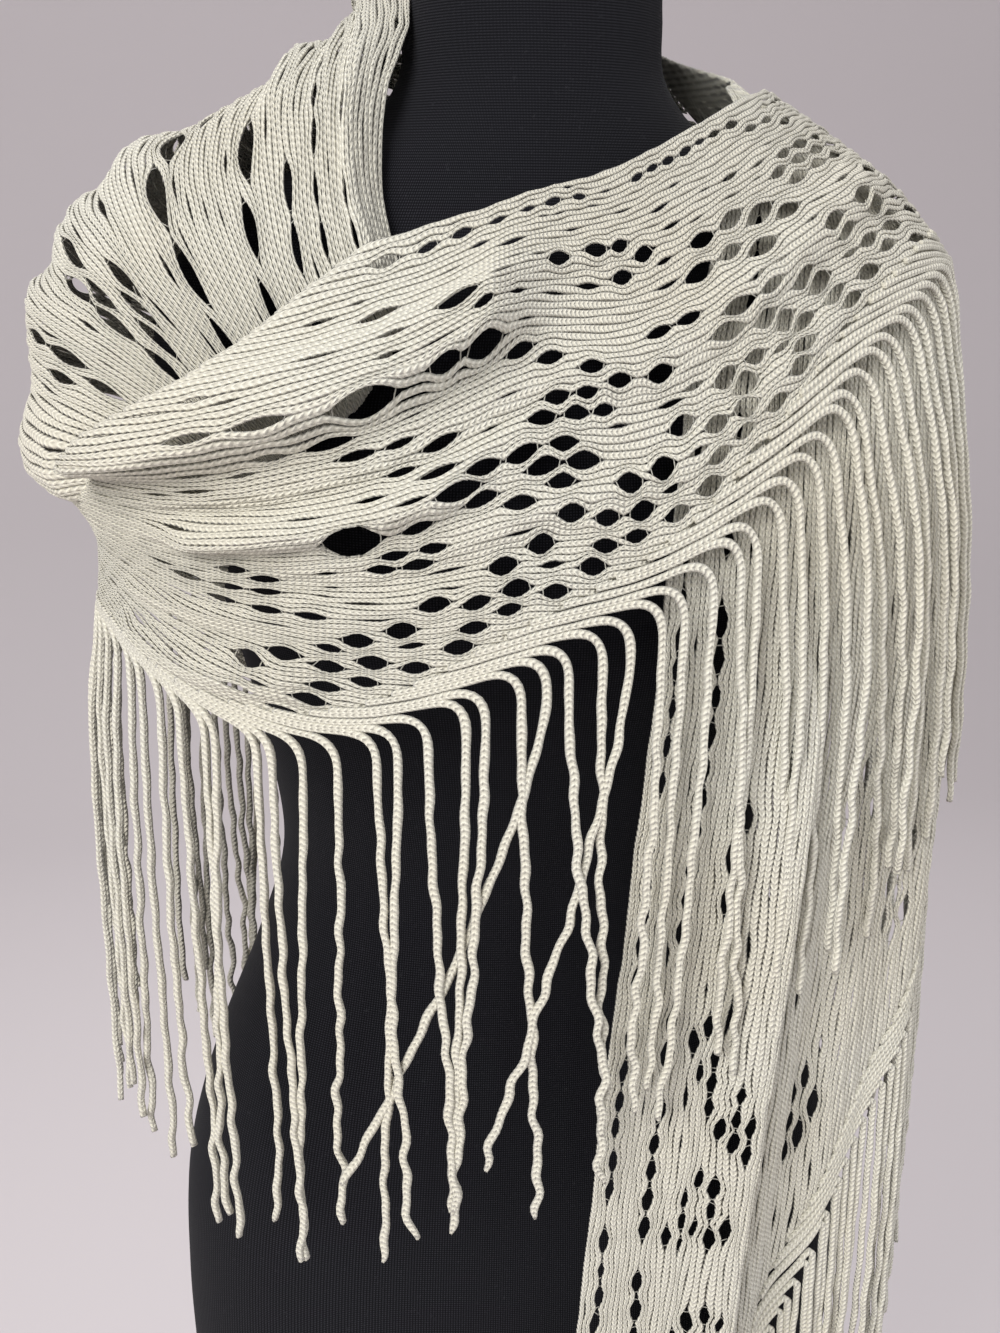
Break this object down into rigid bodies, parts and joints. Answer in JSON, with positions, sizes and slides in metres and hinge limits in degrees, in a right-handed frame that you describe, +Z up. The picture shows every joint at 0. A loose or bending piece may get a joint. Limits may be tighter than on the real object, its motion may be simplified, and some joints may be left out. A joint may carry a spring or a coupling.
{
  "type": "knit shawl on a dress form",
  "caption": "Fringed lace knit shawl, a long shallow triangle wound once round the neck and shoulders of a limbless dress form on a pole stand.",
  "frame": {"origin": "centre of the stand base's underside, on the floor", "axes": "+Z up along the pole, -Y the way the form faces, +X the wearer's left"},
  "size_m": [0.4576, 0.3409, 1.5153],
  "materials": {
    "shawl_yarn": "soft matt knit",
    "form_cover": "close woven cover",
    "neck_cap": "satin",
    "stand_metal": "satin black"
  },
  "bodies": {
    "root": {"shawl_back": "shawl_yarn", "shawl_right_shoulder": "shawl_yarn", "shawl_front_wrap": "shawl_yarn", "shawl_thrown_end": "shawl_yarn", "shawl_hanging_end": "shawl_yarn", "fringe_back": "shawl_yarn", "fringe_front_wrap": "shawl_yarn", "fringe_thrown_end": "shawl_yarn", "fringe_hanging_end": "shawl_yarn", "form_torso": "form_cover", "neck_cap": "neck_cap", "stand_pole": "stand_metal", "stand_base": "stand_metal"}
  },
  "joints": []
}
